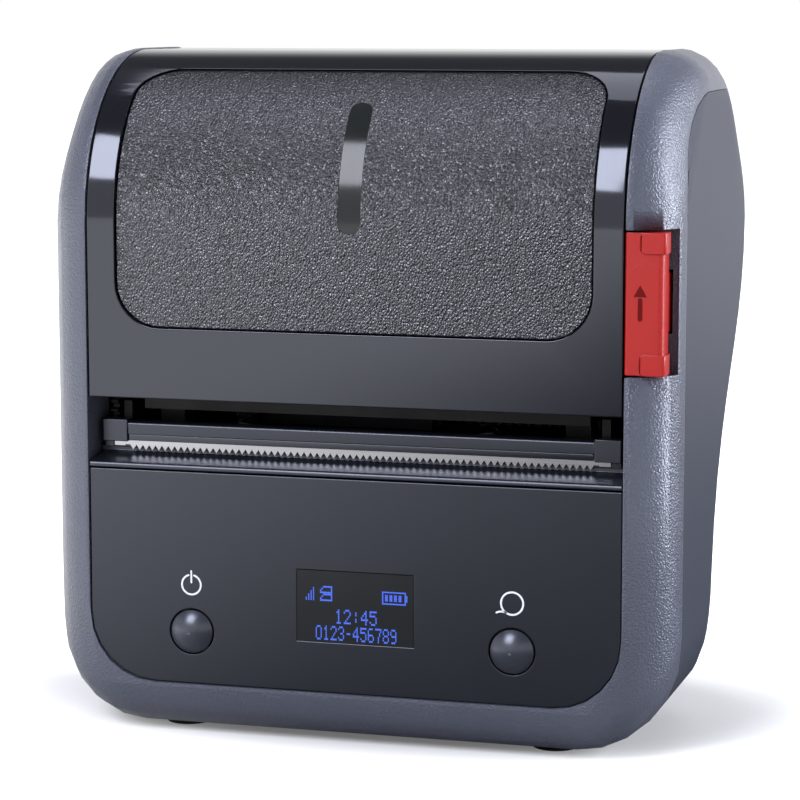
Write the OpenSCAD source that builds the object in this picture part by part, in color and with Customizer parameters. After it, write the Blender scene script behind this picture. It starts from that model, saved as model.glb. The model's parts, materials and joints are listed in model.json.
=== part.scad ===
// Portable label printer: a squat plastic body with a hinged lid over a roll bay, a tear bar in
// a slot across the front, a control panel and a red latch.
// X runs to the right, Y to the back, Z up. Millimetres. The feet stand on Z = 0.

/* [Housing] */
// width over the side panels
body_w = 113; // [112.6:0.2:115]
// height from the table to the crown of the lid
body_h = 120.6; // [120.4:0.2:122]
// depth from the front face to the bulge of the back
body_d = 79; // [78.8:0.2:81]
// wall thickness of the rear shell
wall = 2.2; // [1.8:0.1:2.3]
// radius of the crown at the front
front_r = 30; // [29:0.5:31]
// radius of the crown at the back
rear_r = 31.5; // [31:0.25:32]
// width of one cheek, seen from the front
cheek_w = 8.5; // [8.4:0.05:8.6]
// clear width between the two cheeks
cheek_gap = body_w - 2 * cheek_w;
// depth of the front bezel at its sides
bezel_y = 10.6; // [10.4:0.1:11]
// height of the bezel's bottom bar above the shell's underside
sill_h = 8.6; // [8.2:0.2:9]
// radius of the panel opening's lower corners
sill_r = 12; // [11:0.5:13]

/* [Lid] */
// running gap between the lid and what stands still around it
lid_gap = 0.3; // [0.25:0.05:0.4]
// how far the lid lies below the bezel's own surface
lid_sink = 0.3; // [0.2:0.05:0.4]
// thickness of the glossy lid frame
lid_t = 2.6; // [2.4:0.1:2.8]
// height of the lid's lower edge
lid_edge_z = 60.1; // [60:0.1:60.3]
// width of the glossy frame at each side of the inlay
inlay_side = 5.4; // [5:0.2:7]
// width of the grained inlay
inlay_w = cheek_gap - 2 * inlay_side;
// height of the inlay's lower edge
inlay_z = 72.5; // [71:0.5:74]
// how far round the crown the inlay reaches, in degrees
inlay_a = 63; // [58:1:66]
// corner radius of the inlay
inlay_r = 8; // [6:0.5:9]
// thickness of the inlay
inlay_t = 1; // [0.8:0.1:1.1]
// how far the inlay lies below the frame
inlay_sink = 0.4; // [0.3:0.05:0.5]
// width of the roll window
window_w = 4; // [3.6:0.2:4.6]
// radius of the hinge barrel
barrel_r = 3.4; // [3.2:0.1:3.5]
// radius of the hinge pin
hinge_pin_r = 1.5; // [1.4:0.05:1.6]

/* [Tear bar] */
// plain steel and tab at each end of the teeth
blade_end = 6; // [5.9:0.1:8]
// pitch of the blade's teeth
tooth_pitch = 1.2; // [1.1:0.05:1.2]
// number of teeth on the blade
blade_teeth = floor((cheek_gap - 2 * blade_end) / tooth_pitch + 0.01);
// depth of one tooth
tooth_h = 0.9; // [0.7:0.05:1]
// thickness of the blade
blade_t = 0.5; // [0.4:0.05:0.5]
// height of the holder's top above the table
holder_z = 55.2; // [54.8:0.1:55.3]

/* [Control panel] */
// thickness of the panel
panel_t = 2.4; // [2.2:0.1:2.6]
// distance of each button from the middle
button_x = 29; // [27:0.5:30]
// height of the button centres
button_z = 19; // [18.5:0.25:19.5]
// radius of a button
button_r = 3.8; // [3.6:0.1:3.9]
// gap round a button
button_gap = 0.3; // [0.3:0.05:0.4]
// how far a button's dome stands out of the front face
button_out = 1; // [0.8:0.1:1.2]
// travel of a button
button_travel = 0.6; // [0.4:0.1:0.6]
// width of the display window
display_w = 21; // [20:0.5:22]
// height of the display window
display_h = 12.6; // [12:0.2:13]

/* [Paper feed] */
// radius of the platen's rubber
platen_r = 5.4; // [5.2:0.1:5.5]
// room between each end of the platen's rubber and the cheek
platen_end = 8; // [7.75:0.25:9]
// length of the platen's rubber
platen_l = cheek_gap - 2 * platen_end;
// radius of the platen shaft's journals
journal_r = 2; // [1.9:0.05:2.1]
// running clearance of a journal in its bush, on the radius
run_gap = 0.05; // [0.03:0.01:0.08]
// module of the platen gear and its pinion
gear_m = 0.6; // [0.58:0.01:0.6]
// module of the motor's gear pair
motor_m = 0.5; // [0.49:0.01:0.5]
// play between meshing teeth
gear_play = 0.12; // [0.1:0.01:0.14]

/* [Roll bay] */
// distance of the bay's middle behind the front face
bay_y = 43; // [43:0.25:43.5]
// height of the bay's lowest point, above the guides' racks
bay_z0 = 59; // [59:0.25:60]
// room between the bay and the back
bay_back = 9; // [9:0.25:10]
// room between the bay and the crown
bay_head = 7.6; // [7.6:0.2:9]
// inner radius of the bay, as large as fits: for a roll of 50 mm
bay_r = min(body_d - bay_back - bay_y, (body_h - bay_head - bay_z0) / 2);
// thickness of the bay's wall
bay_t = 1.6; // [1.4:0.1:1.8]
// radius of the hubs that hold the roll's core
hub_r = 11.8; // [11.4:0.1:12.2]
// travel of each roll guide towards the middle
guide_travel = 14; // [10:1:14]

/* [Latch] */
// height of the latch's lower edge
latch_z = 67.2; // [66.8:0.2:67.6]
// height of the latch
latch_h = 23.8; // [23.4:0.2:24.2]
// gap round the latch
latch_gap = 0.4; // [0.35:0.05:0.5]
// travel of the latch when pressed
latch_travel = 2; // [1.5:0.1:2]

/* [Base] */
// height of the rubber feet
foot_h = 1; // [0.8:0.1:1.1]
// radius of the rubber feet
foot_r = 4; // [3.5:0.25:4.25]

/* [Hidden] */
$fn = 64;
eps = 0.01;

// the middle of the depth, buttons included, is at Y = 0
yc = (body_d - button_out) / 2;
hw = body_w / 2;
cg = cheek_gap / 2;

// centres of the crown's front and back arcs, as (y, z)
c1 = [front_r, body_h - front_r];
c2 = [body_d - rear_r, body_h - rear_r];

// bezel: the side fillet ends at side_y, the bezel's band is band_t deep over the crown
side_y = 10;
top_in = 6.6;
band_t = 7.2;
seam_a = 62;
floor_z = foot_h;
sill_z = floor_z + sill_h;

// hinge
hinge_a = 30;
hinge_c = c2 + (rear_r - lid_sink - barrel_r) * [cos(hinge_a), sin(hinge_a)];
barrel_gap = 0.35;
skin = 0.06;
hinge_seat = cg + 3;
lid_open = 75;

// lid
lid_hw = cg - lid_gap;
lid_in = lid_sink + lid_t;
liner_t = 1.6;
flange_x1 = cg - 3.6;
flange_x0 = flange_x1 - 1.7;

// slot and tear bar
blade_y = 5.2;
holder_y1 = 8.2;
holder_bottom = 50.6;
panel_top = 47.4;
panel_y = 0.6;
flange_y0 = 1.8;
rebate = 1;

// paper feed, as (y, z)
platen_c = [13, 66.2];
platen_teeth = 22;
pinion_teeth = 16;
wheel_teeth = 34;
motor_teeth = 12;
lead_a = atan2(hinge_c[1] - platen_c[1], hinge_c[0] - platen_c[0]) - 90;
drive_d = (platen_teeth + pinion_teeth) * gear_m / 2 + 0.06;
drive_c = platen_c + drive_d * [cos(lead_a), sin(lead_a)];
motor_a = -41.5;
motor_d = (wheel_teeth + motor_teeth) * motor_m / 2 + 0.05;
motor_c = drive_c + motor_d * [cos(motor_a), sin(motor_a)];
gear_x0 = -cg + 1.9;
gear_x1 = gear_x0 + 1.3;
wheel_x0 = -cg + 0.5;
wheel_x1 = wheel_x0 + 1.2;
motor_r = 7.4;
head_c = [17.5, 52.5];
head_x = flange_x0 - 2.2;
motor_l = 14.7;
head_top = 60;
head_pin_r = 1.5;
shelf_z = 50.2;

// roll bay, as (y, z)
bay_c = [bay_y, bay_z0 + bay_r];
bay_x = cg - 7;
bay_o = bay_r + bay_t;
diag_a = [14, 62];
diag_b = hinge_c - [1.576, 6];
guide_x0 = -bay_x + 0.7;
guide_x1 = guide_x0 + 1.8;
hub_x0 = guide_x1 + 0.2;
rack_m = 0.6;
rack_teeth = 14;
rack_r = rack_m * rack_teeth / 2;
rack_z0 = 51;
rack_z1 = 53.5;
tray_z = 50.8;
hub_axle_r = 3;

// latch, as (y, z)
lever_c = [16.5, 64];
catch_c = [10, latch_z + 7.8];
lever_r = 1.8;
frame_x0 = cg + 0.2;
frame_x1 = frame_x0 + 1.5;
stem_x = cg + 2.1;

// inside the base
post_x = cg - 11.5;
post_y = [15.5, 35.5];
board_z = 26;
board_t = 1.4;
usb_z = board_z + board_t + 1.7;
foot_x = hw - 22.5;
foot_y = [12.6, 34.6];

bezel_c = [0.27, 0.30, 0.34];
shell_c = [0.20, 0.23, 0.27];
gloss_c = [0.04, 0.04, 0.045];
grain_c = [0.12, 0.12, 0.13];
panel_c = [0.09, 0.10, 0.12];
red_c = [0.80, 0.05, 0.04];
steel_c = [0.75, 0.76, 0.78];
dark_c = [0.10, 0.10, 0.11];
white_c = [0.90, 0.90, 0.88];
brass_c = [0.80, 0.62, 0.25];
board_c = [0.05, 0.25, 0.14];
rubber_c = [0.06, 0.06, 0.06];

// ---------- helpers ----------

// puts the printer's middle over the origin
module centred() {
    translate([0, -yc, 0]) children();
}

// extrudes a side view (y, z) across the width from x0 to x1
module across(x0, x1) {
    translate([x0, 0, 0]) rotate([90, 0, 90]) linear_extrude(x1 - x0) children();
}

// extrudes a front view (x, z) from y0 back to y1
module depth(y0, y1) {
    translate([0, y1, 0]) rotate([90, 0, 0]) linear_extrude(y1 - y0) children();
}

// the same piece on the left and on the right
module both() {
    children();
    mirror([1, 0, 0]) children();
}

function arc_pts(c, ry, rz, a0, a1, n, first = 0) = [
    for (i = [first : n])
        let (a = a0 + (a1 - a0) * i / n)
        [c[0] + ry * cos(a), c[1] + rz * sin(a)]
];

// a quarter arc drawn in towards its centre half way round, by the share k
function egg_pts(c, ry, rz, a0, a1, n, k) = [
    for (i = [0 : n])
        let (a = a0 + (a1 - a0) * i / n, s = 1 - k * pow(abs(sin(2 * a)), 1.5))
        [c[0] + ry * s * cos(a), c[1] + rz * s * sin(a)]
];

function bezier_pts(p0, p1, p2, p3, n) = [
    for (i = [1 : n])
        let (t = i / n, u = 1 - t)
        p0 * pow(u, 3) + 3 * p1 * t * pow(u, 2) + 3 * p2 * t * t * u + p3 * pow(t, 3)
];

function ramp(a, b, n, first = 0) = [for (i = [first : n]) a + (b - a) * i / n];

// front-view outline with round corners, bottom and top ones of their own height
function panel_pts(x0, x1, z0, z1, r, rb, rt, n = 6) = concat(
    arc_pts([x1 - r, z0 + rb], r, rb, -90, 0, n),
    arc_pts([x1 - r, z1 - rt], r, rt, 0, 90, n),
    arc_pts([x0 + r, z1 - rt], r, rt, 90, 180, n),
    arc_pts([x0 + r, z0 + rb], r, rb, 180, 270, n)
);

// side profile of the body, set in by e, and the outline of its flat side face
nose_r = 8;
heel = [38, 16];
function outer_pts(e) = concat(
    arc_pts([nose_r, floor_z + nose_r], nose_r - e, nose_r - e, 270, 180, 4),
    [for (z = [16, 24, 34]) [e, z]],
    arc_pts(c1, front_r - e, front_r - e, 180, 90, 10),
    arc_pts(c2, rear_r - e, rear_r - e, 90, 0, 10),
    bezier_pts(
        [body_d - e, c2[1]], [body_d + 0.5 - e, 64],
        [body_d - 25 - e, 60], [heel[0] + 12.5 - e, heel[1]], 10
    ),
    arc_pts(heel, 12.5 - e, heel[1] - floor_z - e, 0, -90, 5, 1)
);
function side_pts() = concat(
    arc_pts([side_y + 4, 23], 4, 4, 270, 180, 4),
    [for (z = [27, 31, 37]) [side_y, z]],
    egg_pts(c1, front_r - side_y, front_r - top_in, 180, 90, 10, 0.28),
    egg_pts(c2, rear_r - 10.5, rear_r - top_in - 3.4, 90, 0, 10, 0.24),
    bezier_pts(
        [body_d - 10.5, c2[1]], [body_d - 10, 66],
        [body_d - 36, 60], [38, 30], 10
    ),
    arc_pts([31, 30], 7, 11, 0, -90, 5, 1)
);
side_rx = concat(
    ramp(18, 14, 4), [12.3, 11, 10.3], ramp(10, 9, 10), ramp(9, 10.5, 10),
    ramp(10.5, 13, 10, 1), ramp(13, 18, 5, 1)
);

// the body's outer form, or with t the space inside a wall of t
module body_form(t, steps = 6) {
    p = outer_pts(t);
    q = side_pts();
    n = len(p);
    half = [
        for (k = [0 : steps])
            let (a = 90 * k / steps)
            [for (i = [0 : n - 1])
                let (b = p[i] + (q[i] - p[i]) * (1 - cos(a)))
                [hw - side_rx[i] + (side_rx[i] - t) * sin(a), b[0], b[1]]]
    ];
    rings = concat(
        [for (k = [0 : steps]) [for (v = half[steps - k]) [-v[0], v[1], v[2]]]],
        half
    );
    m = len(rings);
    pts = [for (r = rings) each r];
    last = (m - 1) * n;
    faces = concat(
        [[for (i = [0 : n - 1]) n - 1 - i]],
        [[for (i = [0 : n - 1]) last + i]],
        [for (k = [0 : m - 2]) for (i = [0 : n - 1])
            let (j = (i + 1) % n) [k * n + i, k * n + j, (k + 1) * n + j]],
        [for (k = [0 : m - 2]) for (i = [0 : n - 1])
            let (j = (i + 1) % n) [k * n + i, (k + 1) * n + j, (k + 1) * n + i]]
    );
    polyhedron(pts, faces, convexity = 6);
}

// side view of all that lies behind the bezel's parting line
function parting_pts(e = 0) = concat(
    [[bezel_y + e, -5]],
    arc_pts(c1, front_r - bezel_y - e, front_r - band_t - e, 180, 90, 14),
    arc_pts(c2, rear_r - band_t - e, rear_r - band_t - e, 90, seam_a, 5),
    [
        c2 + (rear_r + 6) * [cos(seam_a), sin(seam_a)],
        [body_d + 10, body_h + 6],
        [body_d + 10, -5]
    ]
);

// side view of a band that follows the lid, from the inset a to the inset b
module lid_band(a, b, z0, a_end) {
    translate([a, z0]) square([b - a, c1[1] - z0]);
    intersection() {
        translate(c1) difference() {
            circle(front_r - a, $fn = 128);
            circle(front_r - b, $fn = 128);
        }
        translate([c1[0] - 60, c1[1]]) square(60);
    }
    translate([c1[0], body_h - b]) square([c2[0] - c1[0], b - a]);
    intersection() {
        translate(c2) difference() {
            circle(rear_r - a, $fn = 128);
            circle(rear_r - b, $fn = 128);
        }
        polygon([
            c2,
            c2 + 60 * [cos(a_end), sin(a_end)],
            c2 + [60, 60],
            c2 + [0, 60]
        ]);
    }
}

// one gear, its teeth on involutes, with a tooth's middle on the first axis
function inv_deg(a) = tan(a) * 180 / PI - a;
function gear_pts(m, n, play) =
    let (
        r = m * n / 2,
        rb = r * cos(20),
        ra = r + m,
        rr = r - 1.25 * m,
        ht = 90 / n - play / 2 / r * 90 / PI,
        rs = [rr, max(rb, rr) + 0.001, (max(rb, rr) + r) / 2, r, (r + ra) / 2, ra],
        hs = [for (q = rs) q <= rb ? ht + inv_deg(20)
            : ht + inv_deg(20) - inv_deg(acos(rb / q))]
    )
    [
        for (i = [0 : n - 1])
            for (s = [-1, 1])
                for (k = [0 : 5])
                    let (j = s < 0 ? k : 5 - k, a = 360 * i / n + s * hs[j])
                    rs[j] * [cos(a), sin(a)]
    ];

module gear(m, n, turn) {
    rotate(turn) polygon(gear_pts(m, n, gear_play));
}

// coil spring along +Z
module coil(r, wire, h, turns, sides = 6, per = 12) {
    n = turns * per;
    rings = [
        for (k = [0 : n])
            let (a = 360 * k / per, z = wire + (h - 2 * wire) * k / n)
            [for (s = [0 : sides - 1])
                let (b = 360 * s / sides, q = r + wire * cos(b))
                [q * cos(a), q * sin(a), z + wire * sin(b)]]
    ];
    faces = concat(
        [[for (s = [0 : sides - 1]) s]],
        [[for (s = [0 : sides - 1]) n * sides + sides - 1 - s]],
        [for (k = [0 : n - 1]) for (s = [0 : sides - 1])
            let (t = (s + 1) % sides) [k * sides + s, (k + 1) * sides + s, (k + 1) * sides + t]],
        [for (k = [0 : n - 1]) for (s = [0 : sides - 1])
            let (t = (s + 1) % sides) [k * sides + s, (k + 1) * sides + t, k * sides + t]]
    );
    polyhedron([for (r = rings) each r], faces, convexity = 8);
}

// ---------- housing ----------

module front_bezel() {
    color(bezel_c) centred() difference() {
        body_form(0);
        across(-hw - 5, hw + 5) polygon(parting_pts());
        depth(-5, body_d + 5) sill_opening(0);
        depth(flange_y0, bezel_y + 2) intersection() {
            sill_opening(rebate);
            translate([-hw, 0]) square([2 * hw, panel_top + 0.2]);
        }
        // notch for the latch, and the way through for its stem
        translate([cg - 1, -5, latch_z - latch_gap])
            cube([hw - cg + 0.4, 12.6, latch_h + 2 * latch_gap]);
        translate([stem_x - 0.4, 0, latch_z + 6.4]) cube([5, 14, 10.8]);
    }
}

// front view of the opening between the cheeks, grown by e
module sill_opening(e) {
    polygon(panel_pts(-cg - e, cg + e, sill_z - e, body_h + 20, sill_r + e, sill_r + e, 1));
}

module rear_shell() {
    color(shell_c) centred() difference() {
        union() {
            intersection() {
                body_form(0);
                across(-hw - 5, hw + 5) polygon(parting_pts());
            }
        }
        difference() {
            body_form(wall, 4);
            // hinge bosses, board posts and screw bosses stay on the walls
            both() {
                across(frame_x0, hw) translate(hinge_c) circle(barrel_r - 0.2);
                for (y = post_y)
                    translate([post_x, y, 0]) cylinder(r = 2.6, h = board_z);
                translate([27.3, 25, 0]) cylinder(r = 2.4, h = floor_z + 7);
            }
        }
        // hinge pin bores, blind from inside
        across(-hinge_seat, hinge_seat) translate(hinge_c) circle(hinge_pin_r);
        // lid opening and the hollow for the hinge barrel
        across(-cg, cg) polygon([
            c2,
            c2 + 60 * [cos(hinge_a), sin(hinge_a)],
            [c2[0] + 60, 150],
            [0, 150],
            [0, c2[1]]
        ]);
        across(-cg, cg) translate(hinge_c) {
            circle(barrel_r + barrel_gap);
            // room for the lid to lie back
            rotate(hinge_a - lid_open) square([barrel_r + barrel_gap, 12]);
        }
        // battery door: a rebate and the opening above it
        translate([-29.5, 13, floor_z - 1]) cube([59, 24, 2.2]);
        translate([-25, 14, floor_z - 1]) cube([50, 22, wall + 2]);
        for (x = [-27.3, 27.3])
            translate([x, 25, 0]) cylinder(r = 0.9, h = floor_z + 6);
        // socket opening
        translate([0, 60, usb_z]) usb_form(30, 0.3);
        // screw bores in the board posts
        both() for (y = post_y)
            translate([post_x, y, board_z - 6]) cylinder(r = 0.9, h = 7);
    }
}

// a socket's round-ended form, its front at y = 0 and running forward
module usb_form(l, e) {
    rotate([90, 0, 0]) linear_extrude(l) polygon(
        panel_pts(-4.5 - e, 4.5 + e, -1.6 - e, 1.6 + e, 1.59 + e, 1.59 + e, 1.59 + e)
    );
}

module inner_frame() {
    color(dark_c) centred() {
        difference() {
            both() across(frame_x0, frame_x1) difference() {
                intersection() {
                    polygon(parting_pts());
                    polygon(outer_pts(wall + 2.3));
                    translate([bezel_y, board_z + 12]) square([body_d, body_h]);
                }
                translate(hinge_c) circle(barrel_r + 0.1);
                translate(drive_c) circle(1.25);
            }
            across(frame_x0 - 1, frame_x1 + 1) translate(lever_c) circle(lever_r + run_gap);
        }
        // tray under the roll guides' racks
        difference() {
            union() {
                translate([-frame_x0 - eps, bay_c[0] - 7.4, tray_z - 2.2])
                    cube([2 * frame_x0 + 2 * eps, 19.9, 2.2]);
                both() translate([29, bay_c[0] + 8.8, tray_z - eps]) cube([4, 3.2, 10]);
            }
            across(-bay_x + 1, bay_x - 1) translate(bay_c) circle(bay_o, $fn = 128);
            translate([0, bay_c[0], 40]) cylinder(r = 1.4, h = 12);
        }
        // seat for the latch spring
        translate([frame_x1 - eps, 20, latch_z + 7.8]) cube([4, 1.2, 8]);
    }
}

module battery_door() {
    color(shell_c) centred() difference() {
        translate([-29.35, 13.15, floor_z]) cube([58.7, 23.7, 1.2]);
        for (x = [-27.3, 27.3]) translate([x, 25, floor_z - 1]) {
            cylinder(r = 1, h = 4);
            cylinder(r = 1.8, h = 1.7);
        }
        // thumb notch
        translate([0, 15.4, floor_z - 0.2]) cylinder(r = 5, h = 0.8);
    }
}

module door_screws() {
    color(steel_c) centred() for (x = [-27.3, 27.3])
        translate([x, 25, floor_z + 0.1]) difference() {
            union() {
                cylinder(r = 1.7, h = 0.6);
                cylinder(r = 0.9, h = 5);
            }
            for (a = [0, 90]) rotate(a) translate([-1.1, -0.25, -0.1]) cube([2.2, 0.5, 0.4]);
        }
}

module rubber_feet() {
    color(rubber_c) centred() both() for (y = foot_y) translate([foot_x, y, 0])
        cylinder(r = foot_r, h = foot_h);
}

// ---------- control panel ----------

module control_panel() {
    z0 = sill_z + 0.15;
    color(panel_c) centred() difference() {
        union() {
            depth(panel_y, flange_y0 + eps) panel_face(0.15);
            depth(flange_y0, panel_y + panel_t) intersection() {
                sill_opening(rebate);
                translate([-hw, 0]) square([2 * hw, panel_top]);
            }
            both() for (z = [14.5, 31])
                translate([cg - 11, panel_y + panel_t - eps, z]) rotate([-90, 0, 0])
                    cylinder(r = 1.8, h = 7.4 - panel_y - panel_t + eps);
        }
        for (x = [-button_x, button_x])
            translate([x, -2, button_z]) rotate([-90, 0, 0])
                cylinder(r = button_r + button_gap, h = 12);
        translate([1 - display_w / 2, -1, 24.9 - display_h / 2])
            cube([display_w, 10, display_h]);
    }
}

module panel_face(e) {
    intersection() {
        sill_opening(-e);
        translate([-hw, 0]) square([2 * hw, panel_top]);
    }
}

module display_lens() {
    color(gloss_c) centred() translate([1 - display_w / 2, panel_y, 24.9 - display_h / 2])
        cube([display_w, 1.2, display_h]);
}

module display_module() {
    color(dark_c) centred() difference() {
        translate([1 - display_w / 2 + 0.2, panel_y + 1.2, 24.9 - display_h / 2 + 0.2])
            cube([display_w - 0.4, 5.6, display_h - 0.4]);
        translate([1 - display_w / 2 + 2, panel_y + 3.6, 24.9 - display_h / 2 + 2])
            cube([display_w - 4, 6, display_h - 4]);
    }
}

module panel_board() {
    color(board_c) centred() {
        translate([-cg + 8, 7.4, 12.2]) cube([2 * cg - 16, 1.2, 21.6]);
        translate([-30, 8.6 - eps, 28]) cube([12, 2.6, 4]);
        translate([6, 8.6 - eps, 16]) cube([7, 1, 7]);
    }
}

module tact_switches() {
    color(steel_c) centred() for (x = [-button_x, button_x]) {
        translate([x - 2.6, 6.5, button_z - 2.6]) cube([5.2, 0.9, 5.2]);
    }
}

module button(x) {
    dome = button_out + panel_y;
    rs = (button_r * button_r + dome * dome) / (2 * dome);
    translate([x, 0, button_z]) rotate([-90, 0, 0]) {
        intersection() {
            translate([0, 0, rs - button_out]) sphere(rs, $fn = 96);
            translate([0, 0, -button_out - 1]) cylinder(r = button_r, h = panel_y + button_out + 1.5);
        }
        translate([0, 0, panel_y + 0.4]) cylinder(r = button_r, h = panel_t - 0.3);
        translate([0, 0, panel_y + panel_t + 0.1]) cylinder(r = 5, h = 0.8);
        translate([0, 0, panel_y + panel_t + 0.8]) cylinder(r = 1.2, h = 6.5 - button_travel - 0.1 - panel_y - panel_t - 0.8);
    }
}

module power_button() {
    color(panel_c) centred() button(-button_x);
}

module feed_button() {
    color(panel_c) centred() button(button_x);
}

// ---------- slot and tear bar ----------

module slot_ledge() {
    color(gloss_c) centred() across(-cg + 0.15, cg - 0.15) polygon([
        [0.4, panel_top + 0.3],
        [0.4, panel_top + 0.8],
        [0.6, panel_top + 1.15],
        [1, panel_top + 1.3],
        [6.3, 49.8],
        [6.3, holder_bottom],
        [holder_y1, holder_bottom],
        [holder_y1, panel_top - 1],
        [6.9, panel_top - 1],
        [6.9, panel_top + 0.3]
    ]);
}

module tear_bar_holder() {
    color(dark_c) centred() difference() {
        union() {
            across(-cg + 1.2, cg - 1.2) polygon([
                [4.6, 53], [4.6, holder_z - 0.3], [4.9, holder_z], [holder_y1, holder_z],
                [holder_y1, holder_bottom], [blade_y, holder_bottom], [blade_y, 53]
            ]);
            both() translate([cg - 5.8, 4.4, 51.7]) cube([4.6, 3, holder_z - 51.3]);
        }
        across(-cg + 3, cg - 3) translate([blade_y, 40]) square([blade_t, 54.4 - 40]);
    }
}

module blade_clamp() {
    color(gloss_c) centred()
        translate([-cg + blade_end, blade_y - 0.6, 51.9]) cube([2 * (cg - blade_end), 0.6, 1.1]);
}

module tear_blade() {
    n = blade_teeth;
    hl = n * tooth_pitch / 2;
    tip = 50.2;
    root = tip + tooth_h;
    tab = cg - 3.1;
    color(steel_c) centred() depth(blade_y, blade_y + blade_t) polygon(concat(
        [[-tab, 54.4], [tab, 54.4], [tab, 50.9], [tab - 2, 50.9], [tab - 2, root]],
        [for (i = [0 : n - 1]) each [
            [hl - i * tooth_pitch, root],
            [hl - (i + 0.5) * tooth_pitch, tip]
        ]],
        [[-hl, root], [-tab + 2, root], [-tab + 2, 50.9], [-tab, 50.9]]
    ));
}

// ---------- paper feed ----------

module mechanism_frame() {
    color(steel_c) centred() difference() {
        union() {
            both() across(flange_x0, flange_x1 - 0.2) polygon([
                [8.2, 49], [8.2, 58.5], [10, 60.2], [22, 60.2], [24, 57], [35, 57],
                [35, 40], [12, 40], [12, 46]
            ]);
            translate([-flange_x0 - eps, 8.2, 49])
                cube([2 * flange_x0 + 2 * eps, 11.4, shelf_z - 49]);
            both() translate([flange_x1 - 0.2 - eps, 14, 40])
                cube([frame_x0 - flange_x1 + 0.2 + eps, 8, 1.4]);
        }
        across(-hw, hw) translate(head_c) circle(head_pin_r);
        across(-hw, 0) translate(motor_c) circle(3.4);
        across(-hw, 0) translate(drive_c) circle(1.2);
        // lightening holes and the head's lugs
        both() translate([head_x - 6, 13.6, 48]) cube([5.5, 8, 4]);
    }
}

module print_head() {
    color(steel_c) centred() difference() {
        union() {
            translate([-head_x, 8.8, 57.2]) cube([2 * head_x, 10.2, head_top - 57.2]);
            translate([-head_x + 1, 10.6, head_top - eps]) cube([2 * head_x - 2, 4.6, 0.4]);
            both() {
                translate([head_x - 5.5, 14.2, 51]) cube([4.5, 4.8, 6.3]);
                across(head_x - 5.5, head_x - 1) translate(head_c) circle(2.6);
            }
        }
        across(-hw, hw) translate(head_c) circle(head_pin_r + run_gap);
        // fins
        fins = floor((head_x - 10) / 3 + 0.01);
        for (x = [-3 * fins : 3 : 3 * fins]) translate([x, 14.6, 56]) cube([1.2, 5, 2.6]);
    }
}

module head_pivot_pin() {
    color(steel_c) centred() across(-flange_x1, flange_x1) translate(head_c) circle(head_pin_r);
}

module head_springs() {
    color(steel_c) centred() both() translate([22, 11.4, shelf_z]) coil(1.9, 0.3, 7, 4);
}

module platen_roller() {
    color(rubber_c) centred() across(-platen_l / 2, platen_l / 2) translate(platen_c) difference() {
        circle(platen_r);
        circle(3);
    }
}

module platen_shaft() {
    color(steel_c) centred() {
        across(-platen_l / 2 - 0.7, platen_l / 2 + 0.7) translate(platen_c) circle(3);
        across(gear_x0 - 0.1, flange_x1 + 0.3) translate(platen_c) circle(journal_r);
    }
}

module platen_bushes() {
    color(brass_c) centred() both() across(flange_x0 - 0.6, flange_x1) translate(platen_c)
        difference() {
            circle(3.1);
            circle(journal_r + run_gap);
        }
}

module platen_gear() {
    color(white_c) centred() across(gear_x0, gear_x1) translate(platen_c) difference() {
        gear(gear_m, platen_teeth, lead_a);
        circle(journal_r);
    }
}

module drive_gear() {
    color(white_c) centred() difference() {
        union() {
            across(gear_x0, gear_x1 + 0.1) translate(drive_c)
                gear(gear_m, pinion_teeth, lead_a + 180 + 180 / pinion_teeth);
            across(gear_x0 - 0.25, gear_x0 + eps) translate(drive_c) circle(3.6);
            across(wheel_x0, wheel_x1) translate(drive_c)
                gear(motor_m, wheel_teeth, motor_a);
        }
        across(-hw, -flange_x0) translate(drive_c) circle(1.2 + run_gap);
    }
}

module drive_gear_axle() {
    color(steel_c) centred() across(-frame_x0 - 1.4, -flange_x0) translate(drive_c) circle(1.2);
}

module drive_motor() {
    color(steel_c) centred() difference() {
        union() {
            across(-flange_x0, -flange_x0 + motor_l) translate(motor_c) circle(motor_r);
            across(-flange_x1 + 0.2, -flange_x0 + eps) translate(motor_c) circle(3.3);
        }
        across(-hw, -flange_x0 + motor_l + 1) translate(motor_c) circle(0.8);
    }
}

module motor_pinion() {
    color(brass_c) centred() {
        across(wheel_x0 + 0.1, wheel_x1 - 0.1) translate(motor_c)
            gear(motor_m, motor_teeth, motor_a + 180 + 180 / motor_teeth);
        across(wheel_x1 - 0.2, -flange_x0 + motor_l - 2) translate(motor_c)
            circle(0.8 - run_gap);
    }
}

// ---------- roll bay ----------

module bay_side() {
    intersection() {
        translate(bay_c) circle(bay_o, $fn = 128);
        polygon([diag_a, diag_b, [body_d + 11, diag_b[1]], [body_d + 11, 40], [diag_a[0], 40]]);
    }
}

module roll_bay() {
    dir = [cos(-128), sin(-128)];
    color(dark_c) centred() difference() {
        union() {
            across(-bay_x - 1.4, bay_x + 1.4) bay_side();
            // deck along the parting of lid and body
            both() across(bay_x + 1, frame_x0) polygon([
                deck_at(29), deck_at(diag_b[0] - 4), deck_at(diag_b[0] - 4) - [0, 2],
                deck_at(29) - [0, 2]
            ]);
        }
        // the bay itself, open to the lid and towards the platen
        across(-bay_x, bay_x) {
            translate(bay_c) circle(bay_r, $fn = 128);
            polygon([
                bay_c, bay_c + 60 * dir, [-30, 40], [-30, 130], [130, 130],
                [130, bay_c[1] + 6], bay_c + [0, 6]
            ]);
        }
        // slot for the guides' feet
        translate([-bay_x + 0.4, bay_c[0] - 1.9, rack_z1 + 0.5])
            cube([2 * bay_x - 0.8, 3.8, 8]);
    }
}
function deck_at(y) = [y, diag_a[1] + (y - diag_a[0]) * (diag_b[1] - diag_a[1]) / (diag_b[0] - diag_a[0])];

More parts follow.
